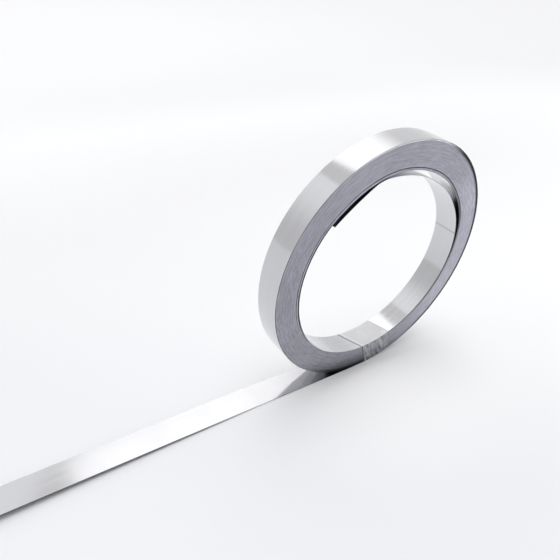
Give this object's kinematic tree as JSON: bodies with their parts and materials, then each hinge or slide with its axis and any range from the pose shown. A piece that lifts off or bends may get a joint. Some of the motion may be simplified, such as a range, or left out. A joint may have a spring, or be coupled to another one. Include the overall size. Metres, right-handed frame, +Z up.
{
  "type": "coil of nickel-plated strip",
  "caption": "Coil of thin nickel-plated steel strip standing on its rim, with a straight tail on the floor, a sprung inner turn and a band of clear tape.",
  "frame": {"origin": "on the floor below the coil's axis, mid-width, where the tail leaves the coil", "axes": "+Z up, +Y along the coil's axis towards its far side, tail towards -X"},
  "size_m": [0.208, 0.0102, 0.096],
  "materials": {
    "nickel_strip": "satin nickel plating with fine rolling lines, bare slit edges",
    "clear_tape": "clear satin film, slightly wrinkled"
  },
  "bodies": {
    "root": {"strip_coil": "nickel_strip", "tape_band": "clear_tape"}
  },
  "joints": []
}
